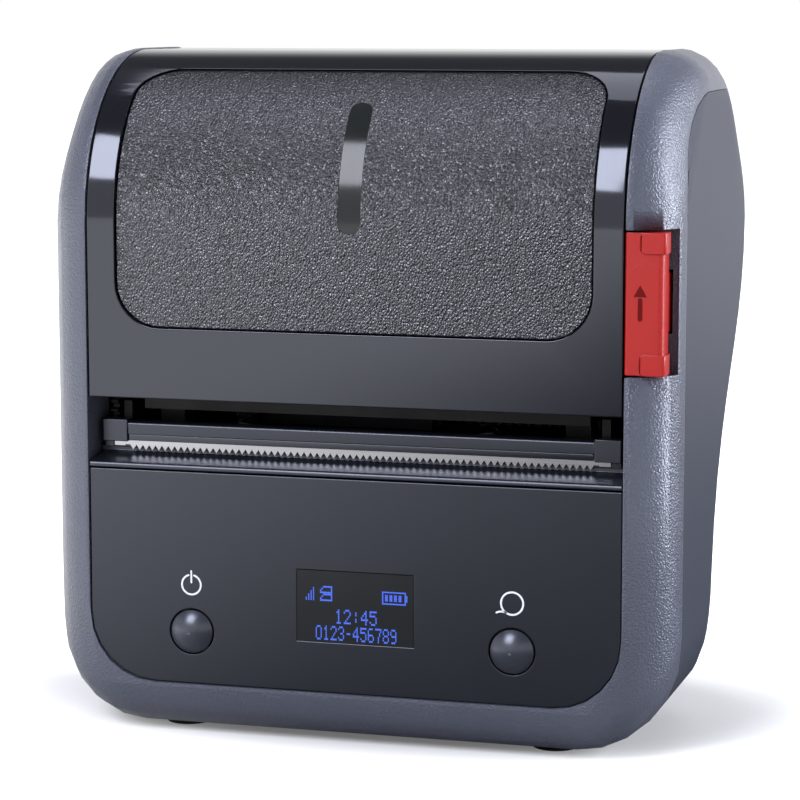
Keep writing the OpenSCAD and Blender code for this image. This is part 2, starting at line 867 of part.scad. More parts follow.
module paper_guide() {
    p = bay_c + (bay_r + 0.2) * [cos(-128), sin(-128)];
    q = bay_c + bay_o * [cos(-128), sin(-128)];
    color(dark_c) centred() difference() {
        across(-flange_x0, flange_x0) polygon([
            p, q, [q[0] - 0.6, 58], [21, 57], [20.4, 57], [20.4, 60.6], [22, 60.9]
        ]);
        translate([-5, 18, 60.0]) cube([10, 6, 3]);
    }
}

module gap_sensor() {
    color(gloss_c) centred() translate([-4.8, 20.8, 60]) cube([9.6, 3, 0.9]);
}

// rack with its teeth towards +y, from x0 to x1, a tooth's middle at x = at
module rack(x0, x1, y, at) {
    p = PI * rack_m;
    h = p / 4 - gear_play / 4;
    k0 = ceil((x0 - at + p / 2) / p);
    k1 = floor((x1 - at - p / 2) / p);
    translate([0, 0, rack_z0]) linear_extrude(rack_z1 - rack_z0) union() {
        translate([x0, y - 2.8]) square([x1 - x0, 2.8 - 1.25 * rack_m]);
        for (k = [k0 : k1]) translate([at + k * p, y]) polygon([
            [-h - 1.26 * rack_m * tan(20), -1.26 * rack_m],
            [-h + rack_m * tan(20), rack_m],
            [h - rack_m * tan(20), rack_m],
            [h + 1.26 * rack_m * tan(20), -1.26 * rack_m]
        ]);
    }
}

// guide on the left: a plate with the hub's bore, a foot through the slot, and its rack
module roll_guide() {
    x0 = guide_x0;
    x1 = guide_x1;
    difference() {
        across(x0, x1) {
            translate(bay_c) circle(bay_r - 8);
            translate([bay_c[0] - 1.4, rack_z0]) square([2.8, bay_c[1] - bay_r + 12 - rack_z0]);
        }
        across(x0 - 1, x1 + 1) translate(bay_c) circle(hub_axle_r + run_gap);
        for (a = [30 : 60 : 330]) across(x0 - 1, x1 + 1)
            translate(bay_c + (bay_r - 11.6) * [cos(a), sin(a)]) circle(2);
    }
    translate([x0, bay_c[0] - rack_r - 2.7, rack_z0])
        cube([x1 - x0, rack_r + 2.7, rack_z1 - rack_z0]);
    rack(x1 - 0.5, 5, bay_c[0] - rack_r - 0.05, 0);
}

module roll_guide_left() {
    color(panel_c) centred() roll_guide();
}

module roll_guide_right() {
    color(panel_c) centred() translate([0, 2 * bay_c[0], 0]) rotate(180) roll_guide();
}

module roll_hub() {
    across(hub_x0, hub_x0 + 6.8) translate(bay_c) difference() {
        circle(hub_r);
        circle(hub_r - 2);
    }
    across(hub_x0, hub_x0 + 1.5) translate(bay_c) circle(hub_r - 1);
    across(hub_x0 - 1.9, hub_x0 + 0.1) translate(bay_c) circle(hub_axle_r);
    for (a = [0 : 60 : 300]) across(hub_x0 + 1.4, hub_x0 + 5.8) translate(bay_c) rotate(a)
        translate([0, -0.6]) square([hub_r - 1, 1.2]);
}

module roll_hub_left() {
    color(dark_c) centred() roll_hub();
}

module roll_hub_right() {
    color(dark_c) centred() mirror([1, 0, 0]) roll_hub();
}

module guide_pinion() {
    color(white_c) centred() translate([0, bay_c[0], rack_z0 + 0.1])
        linear_extrude(rack_z1 - rack_z0 - 0.2) difference() {
            gear(rack_m, rack_teeth, 90 + 180 / rack_teeth);
            circle(1.4 + run_gap);
        }
}

module guide_axle() {
    color(steel_c) centred() translate([0, bay_c[0], 48.6]) cylinder(r = 1.4, h = 5.6);
}

// ---------- lid ----------

function inlay_top() = c1[1] + (front_r - lid_sink) * sin(inlay_a);

// front view of the inlay's outline, set in by e
module inlay_outline(e) {
    r = inlay_r - e;
    polygon(panel_pts(
        -inlay_w / 2 + e, inlay_w / 2 - e, inlay_z + e, inlay_top() - e * cos(inlay_a),
        r, r, r * cos(inlay_a - 8), 8
    ));
}

module window_outline(e) {
    w = window_w / 2 - e;
    z0 = c1[1] - 1;
    z1 = c1[1] + (front_r - lid_sink) * sin(45);
    polygon(panel_pts(-w, w, z0 + e, z1 - e, w - 0.01, w - 0.01, w * 0.72, 6));
}

module lid_frame() {
    color(gloss_c) centred() difference() {
        across(-lid_hw, lid_hw) {
            lid_band(lid_sink, lid_in, lid_edge_z, hinge_a);
            translate(hinge_c) circle(barrel_r - skin);
        }
        // pocket for the inlay
        intersection() {
            across(-lid_hw, lid_hw) lid_band(lid_sink - 2, lid_sink + inlay_sink + inlay_t, 60, 80);
            depth(-5, c1[0] - 2) inlay_outline(0);
        }
        depth(-5, c1[0] - 2) window_outline(0);
        across(-lid_hw - 1, lid_hw + 1) translate(hinge_c) circle(hinge_pin_r + run_gap);
    }
}

module lid_inlay() {
    color(grain_c) centred() difference() {
        intersection() {
            across(-lid_hw, lid_hw)
                lid_band(lid_sink + inlay_sink, lid_sink + inlay_sink + inlay_t, 60, 80);
            depth(-5, c1[0] - 2) inlay_outline(0.3);
        }
        depth(-5, c1[0] - 2) window_outline(0);
    }
}

module lid_window() {
    color(gloss_c) centred() intersection() {
        across(-lid_hw, lid_hw) lid_band(lid_sink + inlay_sink + 0.1, lid_in, 60, 80);
        depth(-5, c1[0] - 2) window_outline(0);
    }
}

module lid_liner() {
    z0 = lid_edge_z + 2.1;
    color(dark_c) centred() difference() {
        union() {
            across(-flange_x1, flange_x1) lid_band(lid_in, lid_in + liner_t, z0, 46);
            both() across(flange_x0, flange_x1) {
                lid_band(lid_in + liner_t - 0.1, 12, z0, 46);
                translate(platen_c) circle(4.6);
                translate([lid_in + 1, z0]) square([platen_c[0] - lid_in - 1, 8.6]);
            }
        }
        across(-hw, hw) translate(platen_c) circle(3.1);
        across(flange_x0 - 1, hw) translate(catch_c) circle(1.5);
        depth(-5, c1[0] - 2) window_outline(0);
    }
}

module lid_catch_pin() {
    color(steel_c) centred() across(flange_x0, cg - 0.7) translate(catch_c) circle(1.5);
}

module hinge_pin() {
    color(steel_c) centred() across(-hinge_seat, hinge_seat) translate(hinge_c)
        circle(hinge_pin_r);
}

// ---------- latch ----------

// extrudes a plan (x, y) from z0 up to z1
module upright(z0, z1) {
    translate([0, 0, z0]) linear_extrude(z1 - z0) children();
}

// plan of a latch block, its front edges round
module latch_plan(x0, x1, y0, y1, r) {
    polygon(concat(
        [[x0, y1], [x1, y1]],
        arc_pts([x1 - r, y0 + r], r, r, 0, -90, 6),
        [[x0 + 0.3, y0], [x0, y0 + 0.3]]
    ));
}

module open_latch() {
    x0 = cg - 0.05;
    x1 = hw - 2;
    z1 = latch_z + latch_h;
    color(red_c) centred() {
        upright(latch_z, z1) latch_plan(x0, x1, 0.5, 5, 1);
        // thumb blocks, proud of the middle
        for (z = [latch_z, z1 - 3.5]) intersection() {
            upright(z - 1, z + 4.5) latch_plan(x1 - 4.1, x1 + 0.4, 0.15, 4.4, 0.5);
            depth(-1, 6) polygon(panel_pts(
                x1 - 4.1, x1 + 2, z, z + 3.5, 1, 1, 1, 4
            ));
        }
        // stem: only its upper half reaches the lever, where the lever moves as far as it does
        translate([stem_x, 5 - eps, latch_z + 11.8]) cube([4.2, 7.2, 5]);
        translate([stem_x, 5 - eps, latch_z + 6.8]) cube([4.2, 6.1, 5 + eps]);
    }
}

module latch_lever() {
    color(steel_c) centred() {
        across(cg - 3.1, cg + 5.6) translate(lever_c) circle(lever_r);
        across(cg + 2.4, cg + 5.4) difference() {
            union() {
                translate(lever_c) circle(3.2);
                polygon([
                    [14.2, 64], [12.5, 74], [12.5, 84], [14.1, 84], [14.1, 75], [19, 64]
                ]);
            }
        }
        across(cg - 3, cg - 0.4) union() {
            translate(lever_c) circle(3.2);
            polygon([
                [14.4, 64], [13.2, 73], [13.2, 76.9], [11.9, 77], [11.8, 78.4],
                [13, 79.6], [15.2, 79], [15.6, 73], [19, 64]
            ]);
        }
    }
}

module latch_spring() {
    color(steel_c) centred() translate([cg + 3.9, 14.15, latch_z + 11.8]) rotate([-90, 0, 0])
        coil(1.9, 0.3, 5.85, 4);
}

// ---------- inside the base ----------

module main_board() {
    color(board_c) centred() difference() {
        union() {
            translate([-cg + 4, 13.5, board_z]) cube([2 * cg - 8, 32.5, board_t]);
            translate([-16, 20, board_z + board_t - eps]) cube([12, 12, 1.4]);
            translate([4, 22, board_z + board_t - eps]) cube([9, 7, 1.2]);
            translate([-cg + 8, 38.5, board_z + board_t - eps]) cube([14, 5, 5]);
            translate([24, 20, board_z + board_t - eps]) cube([5, 14, 6]);
            for (x = [16, 21]) translate([x, 38, board_z + board_t - eps])
                cylinder(r = 2, h = 6);
        }
        both() for (y = post_y) translate([post_x, y, board_z - 1]) cylinder(r = 1, h = 4);
    }
}

module board_screws() {
    color(steel_c) centred() both() for (y = post_y)
        translate([post_x, y, board_z + board_t]) difference() {
            union() {
                cylinder(r = 1.7, h = 1);
                translate([0, 0, -6]) cylinder(r = 0.9, h = 6.1);
            }
            for (a = [0, 90]) rotate(a) translate([-1.1, -0.25, 0.6]) cube([2.2, 0.5, 1]);
        }
}

module battery_pack() {
    color(dark_c) centred() {
        translate([-24.4, 14.3, floor_z + 1.2]) cube([48.8, 21.4, 16]);
        translate([-10, 18, floor_z + 17.2 - eps]) cube([20, 6, 1.4]);
    }
}

module usb_port() {
    y1 = 51.4;
    color(steel_c) centred() difference() {
        translate([0, y1, usb_z]) usb_form(8.4, 0);
        translate([0, y1 + 1, usb_z]) usb_form(7.4, -0.35);
    }
}

front_bezel();
rear_shell();
inner_frame();
control_panel();
display_lens();
display_module();
panel_board();
tact_switches();
power_button();
feed_button();
slot_ledge();
tear_bar_holder();
blade_clamp();
tear_blade();
mechanism_frame();
print_head();
head_pivot_pin();
head_springs();
platen_roller();
platen_shaft();
platen_bushes();
platen_gear();
drive_gear();
drive_gear_axle();
drive_motor();
motor_pinion();
roll_bay();
paper_guide();
gap_sensor();
roll_guide_left();
roll_guide_right();
roll_hub_left();
roll_hub_right();
guide_pinion();
guide_axle();
lid_frame();
lid_inlay();
lid_window();
lid_liner();
lid_catch_pin();
hinge_pin();
open_latch();
latch_lever();
latch_spring();
main_board();
board_screws();
battery_pack();
battery_door();
door_screws();
usb_port();
rubber_feet();
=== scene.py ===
# %% [markdown]
# # A portable label printer, dressed
#
# The printer arrives as a packed engineering model: every casing, gear and spring
# is already there at its true size, in metres, with +Z up. This lesson gives it
# its looks. The parts whose shape is right keep their mesh and get a better
# finish. The ones that are seen up close are copied, merged and given the small
# edge rounds that a moulding has, because a perfectly sharp edge never catches
# the light. A few thin things, such as printed symbols and the lit display, are
# modelled here from nothing.

# %% Load the frame
import json
import math
import bmesh
import bpy
from mathutils import Matrix, Vector

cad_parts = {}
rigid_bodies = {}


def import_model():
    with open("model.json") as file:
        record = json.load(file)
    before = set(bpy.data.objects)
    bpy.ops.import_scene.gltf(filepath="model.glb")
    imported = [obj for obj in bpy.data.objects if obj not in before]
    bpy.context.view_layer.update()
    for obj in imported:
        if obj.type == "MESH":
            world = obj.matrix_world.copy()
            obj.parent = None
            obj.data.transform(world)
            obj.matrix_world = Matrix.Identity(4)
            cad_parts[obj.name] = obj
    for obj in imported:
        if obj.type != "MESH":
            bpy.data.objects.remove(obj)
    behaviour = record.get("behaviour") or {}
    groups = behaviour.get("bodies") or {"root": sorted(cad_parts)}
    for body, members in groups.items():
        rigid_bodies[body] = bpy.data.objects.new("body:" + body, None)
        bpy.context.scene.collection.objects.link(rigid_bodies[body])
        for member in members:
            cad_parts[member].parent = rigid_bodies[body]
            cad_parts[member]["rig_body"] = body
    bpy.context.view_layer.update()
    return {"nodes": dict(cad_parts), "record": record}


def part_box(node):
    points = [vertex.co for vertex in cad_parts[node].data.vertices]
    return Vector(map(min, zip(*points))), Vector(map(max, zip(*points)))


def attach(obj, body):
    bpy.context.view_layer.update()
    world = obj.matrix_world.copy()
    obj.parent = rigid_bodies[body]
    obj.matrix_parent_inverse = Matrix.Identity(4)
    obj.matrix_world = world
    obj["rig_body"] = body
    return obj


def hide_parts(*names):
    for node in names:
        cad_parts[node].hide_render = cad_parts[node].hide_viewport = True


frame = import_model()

MM = 0.001

# %% [markdown]
# ## Where things are
#
# The engineering source measures depth from the front of the panel, and the
# frame puts its origin in the middle of the printer. One helper turns the
# source's millimetres into the frame's metres, so that the numbers in the later
# cells are the ones that a drawing of the printer would show.

# %% A point from the drawing
FRONT = 39.0  # from the front of the panel back to the middle, mm
SIDE = 56.5  # half the width across the two flanks, mm
PANEL_FACE = 0.6  # the panel's front, counted back from the foremost point, mm


def at(x, y, z):
    """A point given in millimetres, with y counted back from the front."""
    return Vector((x, y - FRONT, z)) * MM


print("middle of the panel:", tuple(round(v, 4) for v in at(0, PANEL_FACE, 25)))

# %% [markdown]
# ## Finishes
#
# A moulded plastic is never one flat colour. Its surface was etched into the
# steel of the mould, so it has a fine grain; it has been handled, so its gloss
# wanders a little; and light catches the grain at edges. Each finish below
# starts from the same recipe: a base colour, a slow mottle that shifts the
# roughness, and a grain that tilts the normal through a bump. All of it reads
# object coordinates, so it stays put when a piece moves. A number that is the
# same all over is set on the shader itself, where an export can find it.

# %% The recipe
def finish(name, color, rough, metallic=0.0, spec=0.5, coat=0.0, cool=0.0):
    """A principled material with the constants on its sockets."""
    mat = bpy.data.materials.new(name)
    mat.use_nodes = True
    shader = shader_of(mat)
    shader.inputs["Base Color"].default_value = (*color, 1)
    shader.inputs["Roughness"].default_value = rough
    shader.inputs["Metallic"].default_value = metallic
    shader.inputs["IOR"].default_value = 1.5
    shader.inputs["Specular IOR Level"].default_value = spec
    shader.inputs["Specular Tint"].default_value = (1 - cool, 1 - cool * 0.8, 1, 1)
    shader.inputs["Coat Weight"].default_value = coat
    return mat


def shader_of(mat):
    return mat.node_tree.nodes["Principled BSDF"]


def add(mat, kind, **values):
    """A new node, with its plain settings and its inputs given by name."""
    node = mat.node_tree.nodes.new(kind)
    for key, value in values.items():
        if hasattr(node, key):
            setattr(node, key, value)
        else:
            node.inputs[key].default_value = value
    return node


def wire(mat, a, out, b, into):
    mat.node_tree.links.new(a.outputs[out], b.inputs[into])


def place(mat, stretch=(1, 1, 1)):
    """Object coordinates, stretched along the axes."""
    coords = add(mat, "ShaderNodeTexCoord")
    mapping = add(mat, "ShaderNodeMapping")
    mapping.inputs["Scale"].default_value = stretch
    wire(mat, coords, "Object", mapping, "Vector")
    return mapping


LOW, HIGH = 0.3, 0.7  # where most of a noise lies


def mottle(mat, size, swing, tint=0.06, stretch=(1, 1, 1)):
    """Slow changes of gloss and of lightness, of about that size in millimetres."""
    shader = shader_of(mat)
    rough = round(shader.inputs["Roughness"].default_value, 4)
    base = tuple(shader.inputs["Base Color"].default_value[:3])
    noise = add(mat, "ShaderNodeTexNoise", Scale=1000 / size, Detail=5.0, Roughness=0.6)
    wire(mat, place(mat, stretch), "Vector", noise, "Vector")
    gloss = add(mat, "ShaderNodeMapRange")
    gloss.inputs["From Min"].default_value = LOW
    gloss.inputs["From Max"].default_value = HIGH
    gloss.inputs["To Min"].default_value = rough - swing
    gloss.inputs["To Max"].default_value = rough + swing
    wire(mat, noise, "Fac", gloss, "Value")
    wire(mat, gloss, "Result", shader, "Roughness")
    shades = add(mat, "ShaderNodeValToRGB")
    stops = zip(shades.color_ramp.elements, (LOW, HIGH), (1 - tint, 1 + tint))
    for element, position, share in stops:
        element.position = position
        element.color = (*(min(c * share, 1) for c in base), 1)
    wire(mat, noise, "Fac", shades, "Fac")
    wire(mat, shades, "Color", shader, "Base Color")


def grain(mat, height_node, socket, depth):
    """Tilts the normal by a height, depth millimetres from low to high."""
    shader = shader_of(mat)
    bump = add(mat, "ShaderNodeBump", Distance=depth * MM, Strength=1.0)
    earlier = shader.inputs["Normal"].links
    if earlier:
        mat.node_tree.links.new(earlier[0].from_socket, bump.inputs["Normal"])
    wire(mat, height_node, socket, bump, "Height")
    wire(mat, bump, "Normal", shader, "Normal")


def speckle(mat, size, depth, detail=2.0, stretch=(1, 1, 1)):
    """A fine even grain, of about that size in millimetres."""
    noise = add(mat, "ShaderNodeTexNoise", Scale=1000 / size, Detail=detail)
    wire(mat, place(mat, stretch), "Vector", noise, "Vector")
    grain(mat, noise, "Fac", depth)


print("the recipe is ready")

# %% [markdown]
# The bezel is painted-looking plastic with a spark-eroded texture, a shade of
# blue in its grey. The shell behind it comes from a polished mould, so it is the
# same colour family but smoother. The lid's frame is piano black: almost no
# grain, with only the long waves that any large moulding has.

# %% Casings
BEZEL = finish("bezel_plastic", (0.082, 0.089, 0.117), 0.32, spec=0.6, cool=0.1)
mottle(BEZEL, 14, 0.03, tint=0.03)
speckle(BEZEL, 0.38, 0.16, detail=1.5)

SHELL = finish("shell_plastic", (0.037, 0.042, 0.058), 0.46, spec=0.3, cool=0.15)
mottle(SHELL, 40, 0.015, tint=0.02)
speckle(SHELL, 0.3, 0.010)

GLOSS = finish("gloss_black", (0.008, 0.0085, 0.012), 0.10, spec=0.60, cool=0.16)
mottle(GLOSS, 40, 0.015)
speckle(GLOSS, 14, 0.004, detail=1.0)

PANEL = finish("panel_plastic", (0.006, 0.007, 0.011), 0.34, spec=0.80, cool=0.18)
mottle(PANEL, 40, 0.02)
speckle(PANEL, 0.3, 0.008)

INNER = finish("inner_black", (0.005, 0.005, 0.006), 0.46, spec=0.25)
mottle(INNER, 10, 0.08)
speckle(INNER, 0.3, 0.02)

print([m.name for m in (BEZEL, SHELL, GLOSS, PANEL, INNER)])

# %% [markdown]
# The lid's inlay is moulded with a leather grain: small pebbles, closed off by
# creases, that run into each other as short wrinkles. A Voronoi distance gives
# the pebbles. Its coordinates are first pushed about by a noise, so that no
# crease is straight, and a second noise roughens the tops.

# %% Leather grain
PEBBLES = 2400.0  # pebbles to a metre
WANDER = 0.3 * MM  # how far a crease is pushed aside

GRAIN = finish("grain_black", (0.012, 0.012, 0.015), 0.28, spec=1.0, cool=0.08)
mottle(GRAIN, 30, 0.03, tint=0.04)
where = place(GRAIN)
push = add(GRAIN, "ShaderNodeTexNoise", Scale=1300.0, Detail=1.0)
wire(GRAIN, where, "Vector", push, "Vector")
shift = add(GRAIN, "ShaderNodeVectorMath", operation="MULTIPLY_ADD")
shift.inputs[1].default_value = (WANDER, WANDER, WANDER)
GRAIN.node_tree.links.new(push.outputs["Color"], shift.inputs[0])
GRAIN.node_tree.links.new(where.outputs["Vector"], shift.inputs[2])
pebbles = add(GRAIN, "ShaderNodeTexVoronoi", feature="F1", Scale=PEBBLES)
wire(GRAIN, shift, "Vector", pebbles, "Vector")
grain(GRAIN, pebbles, "Distance", -0.22)
speckle(GRAIN, 0.45, 0.10, detail=1.0)
print("pebble size about", round(1000 / PEBBLES, 2), "mm")

# %% [markdown]
# Small parts: the red latch, the steel of blade and pins, dark acetal for the
# gears, brass for bushes, rubber, circuit board and glass. Rolled steel keeps
# the lines of the rolls, so its grain is drawn out along the width. The two
# buttons are moulded by themselves, in a grey that is a little lighter than the
# panel round them.

# %% Small parts
RED = finish("latch_red", (0.40, 0.012, 0.010), 0.30, spec=0.4)
mottle(RED, 9, 0.04, tint=0.05)
speckle(RED, 0.35, 0.006)

STEEL = finish("steel", (0.36, 0.36, 0.38), 0.26, metallic=1.0)
mottle(STEEL, 4, 0.08, stretch=(0.1, 1, 1))
speckle(STEEL, 0.3, 0.006, stretch=(0.04, 1, 1))

ACETAL = finish("gear_plastic", (0.045, 0.046, 0.050), 0.38)
mottle(ACETAL, 5, 0.06, tint=0.03)
speckle(ACETAL, 0.4, 0.01)

BRASS = finish("brass", (0.72, 0.50, 0.20), 0.28, metallic=1.0)
mottle(BRASS, 3, 0.08)
speckle(BRASS, 0.25, 0.006)

RUBBER = finish("rubber", (0.007, 0.007, 0.008), 0.62, spec=0.2)
mottle(RUBBER, 5, 0.08)
speckle(RUBBER, 0.3, 0.03)

BOARD = finish("board_green", (0.012, 0.085, 0.045), 0.32, coat=0.3)
mottle(BOARD, 6, 0.06, tint=0.15)
speckle(BOARD, 0.6, 0.02)

SLEEVE = finish("battery_wrap", (0.030, 0.034, 0.045), 0.40)
mottle(SLEEVE, 12, 0.08)
speckle(SLEEVE, 3.0, 0.05)

GLASS = finish("display_glass", (0.016, 0.018, 0.019), 0.14, spec=0.3)
mottle(GLASS, 20, 0.03)
speckle(GLASS, 8, 0.003, detail=1.0)

PRINT = finish("print_white", (0.80, 0.81, 0.84), 0.45)
mottle(PRINT, 1.5, 0.06, tint=0.04)
speckle(PRINT, 0.2, 0.01)

MARK = finish("mark_red", (0.13, 0.004, 0.004), 0.35, spec=0.1)
mottle(MARK, 3.0, 0.05)
speckle(MARK, 0.3, 0.010)

LIT = finish("lit_blue", (0.02, 0.05, 0.30), 0.4)
mottle(LIT, 2.0, 0.05)
lit_shader = LIT.node_tree.nodes["Principled BSDF"]
lit_shader.inputs["Emission Color"].default_value = (0.085, 0.19, 1.0, 1)
lit_shader.inputs["Emission Strength"].default_value = 0.70

FINISH_OF = {
    "bezel_plastic": BEZEL, "shell_plastic": SHELL, "gloss_black": GLOSS,
    "grain_black": GRAIN, "panel_plastic": PANEL, "latch_red": RED,
    "inner_black": INNER, "steel": STEEL, "gear_plastic": ACETAL, "brass": BRASS,
    "rubber": RUBBER, "board_green": BOARD, "battery_wrap": SLEEVE,
    "display_glass": GLASS,
}
slot_of = {s["node"]: s["material_slot"] for s in frame["record"]["subparts"]}
for node, obj in frame["nodes"].items():
    obj.data.materials.clear()
    obj.data.materials.append(FINISH_OF[slot_of[node]])
KEYS = finish("button_grey", (0.032, 0.036, 0.046), 0.30, spec=0.80, cool=0.18)
for node in ("power_button", "feed_button"):
    frame["nodes"][node].data.materials[0] = KEYS
print("finished", len(slot_of), "nodes")

# %% [markdown]
# ## Edges that catch the light
#
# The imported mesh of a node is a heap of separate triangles. A copy of it can be
# merged into one skin, its flat faces joined up again, and its edges rounded by
# a bevel. The copy then stands for the node. The bevel is told its kind, its
# segments, a profile of a half, which is a true arc, and to keep the material.

# %% Copy, merge, round
def add_piece(name, bm, material, body, turn=32):
    """A finished piece from a bmesh: smooth, but sharp where it turns further than turn."""
    mesh = bpy.data.meshes.new(name)
    bm.to_mesh(mesh)
    bm.free()
    mesh.materials.append(material)
    mesh.shade_smooth()
    mesh.set_sharp_from_angle(angle=math.radians(turn))
    obj = bpy.data.objects.new(name, mesh)
    bpy.context.scene.collection.objects.link(obj)
    even = obj.modifiers.new("even_shading", "WEIGHTED_NORMAL")
    even.keep_sharp = True
    even.weight = 100
    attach(obj, body)
    return obj


MERGE = 0.004 * MM  # corners closer than this are one
FLAT = 0.3  # degrees between faces that count as one


def skin_of(node):
    """A node's mesh as one merged skin, its flat faces joined."""
    bm = bmesh.new()
    bm.from_mesh(frame["nodes"][node].data)
    bmesh.ops.remove_doubles(bm, verts=bm.verts, dist=MERGE)
    for side in (-SIDE * MM, SIDE * MM):
        # a flank is flat, and its outline is hollow at the waist, where its
        # triangles fold over each other: joined into one face, they can't
        flank = [
            face for face in bm.faces
            if all(abs(v.co.x - side) < MERGE / 2 for v in face.verts)
        ]
        bmesh.ops.dissolve_faces(bm, faces=flank, use_verts=False)
    bmesh.ops.dissolve_limit(
        bm, angle_limit=math.radians(FLAT), verts=bm.verts, edges=bm.edges
    )
    return bm


def round_edges(bm, size, turn, wanted):
    """Rounds the wanted edges that turn further than turn, by size millimetres."""
    edges = [
        e for e in bm.edges
        if e.is_manifold and e.calc_face_angle() > math.radians(turn) and wanted(e)
    ]
    bmesh.ops.bevel(
        bm, geom=edges, offset=size * MM, offset_type="OFFSET", affect="EDGES",
        segments=2, profile=0.5, material=-1, clamp_overlap=False,
    )
    return len(edges)


def dress(node, size, turn=35, wanted=lambda edge: True):
    """Replaces a node by its own skin with rounded edges."""
    bm = skin_of(node)
    count = round_edges(bm, size, turn, wanted)
    obj = add_piece(
        node + "_skin", bm, FINISH_OF[slot_of[node]],
        frame["nodes"][node]["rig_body"],
    )
    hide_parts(node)
    print(f"{node}: {count} edges rounded by {size} mm, {len(obj.data.polygons)} faces")
    return obj


for node, size in {
    "lid_frame": 0.25, "lid_inlay": 0.15, "control_panel": 0.2, "slot_ledge": 0.15,
    "tear_bar_holder": 0.15, "open_latch": 0.12, "blade_clamp": 0.1,
}.items():
    dress(node, size)

# %% [markdown]
# Bezel and shell are big and their meshes are fine, so only the edges that show
# are rounded on them. The seam between the two runs straight up each side, then
# over a front arch, along a short level stretch and down a rear arch. The other
# edges are the inner ones of the cheeks, beside the lid and the panel.

# %% Seam and cheeks
CHEEK = 48.0  # from the middle to a cheek's inner face
SEAM_Y = 10.6  # the seam's straight rise, counted back from the front
SEAM_TOP = 113.4
RISE_END = 90.6
FRONT_ARCH = (30, 90.6, 19.4, 22.8)  # centre y and z, half widths in y and z
REAR_ARCH = (47.5, 89.1, 24.3, 24.3)


def on_arch(y, z, arch):
    centre_y, centre_z, half_y, half_z = arch
    return abs(math.hypot((y - centre_y) / half_y, (z - centre_z) / half_z) - 1) < 0.01


def on_seam(y, z):
    """True for a point of the seam, y counted back from the front."""
    if z < RISE_END:
        return abs(y - SEAM_Y) < 0.05
    if y < FRONT_ARCH[0]:
        return on_arch(y, z, FRONT_ARCH)
    level = y <= REAR_ARCH[0] and abs(z - SEAM_TOP) < 0.05
    return level or (y < 63 and on_arch(y, z, REAR_ARCH))


def seam_edge(edge):
    """True where bezel and shell meet on the outside."""
    if not all(on_seam(v.co.y / MM + FRONT, v.co.z / MM) for v in edge.verts):
        return False
    return any(abs(face.normal.x) > 0.05 for face in edge.link_faces)


def bezel_edge(edge):
    """True on the seam and along the inner edges of the two cheeks."""
    inner = all(abs(abs(v.co.x) - CHEEK * MM) < 0.02 * MM for v in edge.verts)
    return inner or seam_edge(edge)


dress("front_bezel", 0.22, turn=50, wanted=bezel_edge)
dress("rear_shell", 0.22, turn=50, wanted=seam_edge)

# %% [markdown]
# ## Printed symbols
#
# Above each button a white symbol is pad-printed. Its line has one width all
# round, so it is made the way a pen makes it: a short stroke across the line is
# spun about a centre, which sweeps out an arc, and a small disc rounds each end.
# The ink stands a few hundredths of a millimetre off the panel.

# %% Pen strokes
PEN = 0.33  # the width of a line
ACROSS = Matrix.Rotation(math.radians(90), 4, "X")  # from lying flat to facing the front


def toward(degrees):
    """The direction at that angle in the front view."""
    return Vector((math.cos(math.radians(degrees)), 0, math.sin(math.radians(degrees))))


def disc(bm, spot, width, segments):
    """A flat disc that faces the front; returns its corners."""
    made = bmesh.ops.create_circle(
        bm, cap_ends=True, radius=width / 2 * MM, segments=segments,
        matrix=Matrix.Translation(spot) @ ACROSS,
    )
    return made["verts"]


def arc(bm, cx, cz, radius, start, end, y, pen=PEN):
    """A round-ended arc in the front view, in millimetres and degrees."""
    near, far = (
        bm.verts.new(at(cx, y, cz) + toward(start) * reach * MM)
        for reach in (radius - pen / 2, radius + pen / 2)
    )
    stroke = bm.edges.new((near, far))
    bmesh.ops.spin(
        bm, geom=[near, far, stroke], cent=at(cx, y, cz), axis=(0, -1, 0),
        angle=math.radians(end - start), steps=max(6, round((end - start) / 7)),
        use_merge=end - start >= 360,
    )
    if end - start < 360:
        for tip in (start, end):
            # the disc lies a hair deeper, so that it never fights the stroke
            disc(bm, at(cx, y + 0.005, cz) + toward(tip) * radius * MM, pen, 14)


def bar(bm, x, z0, z1, y, pen=PEN):
    """An upright round-ended stroke: a disc whose upper half is lifted."""
    around = disc(bm, at(x, y, z0), pen, 16)
    upper = [v for v in around if v.co.z > (z0 + 0.001) * MM]
    bmesh.ops.translate(bm, verts=upper, vec=(0, 0, (z1 - z0) * MM))


def ink(name, bm, material, thickness=0.04, body="case"):
    """Turns the strokes to the front and gives them a thickness."""
    bm.normal_update()
    bmesh.ops.reverse_faces(bm, faces=[face for face in bm.faces if face.normal.y > 0])
    made = bmesh.ops.extrude_face_region(bm, geom=bm.faces[:])
    fronts = [v for v in made["geom"] if isinstance(v, bmesh.types.BMVert)]
    bmesh.ops.translate(bm, verts=fronts, vec=(0, -thickness * MM, 0))
    bm.normal_update()
    return add_piece(name, bm, material, body)


KEY_X = 29.0  # from the middle to a button
SYMBOL_Z = 27.4

bm = bmesh.new()
arc(bm, -KEY_X, SYMBOL_Z, 1.75, 107, 433, PANEL_FACE)
bar(bm, -KEY_X, SYMBOL_Z + 0.4, SYMBOL_Z + 2.4, PANEL_FACE)
power_symbol = ink("power_symbol", bm, PRINT)

bm = bmesh.new()
arc(bm, KEY_X, SYMBOL_Z, 1.95, 0, 360, PANEL_FACE)
arc(bm, 27.15, 24.05, 1.87, 61, 118, PANEL_FACE)
feed_symbol = ink("feed_symbol", bm, PRINT)
print("symbols:", power_symbol.name, feed_symbol.name)

# %% [markdown]
# ## What the display shows
#
# The display is a grid of lit dots, and its text is drawn by switching dots on.
# Each sign is written here as rows of a small picture, with # where a dot is lit,
# and every lit dot becomes one tiny square under the glass. The signs are plain:
# bars for the signal, two labels, a battery, and rows of digits.

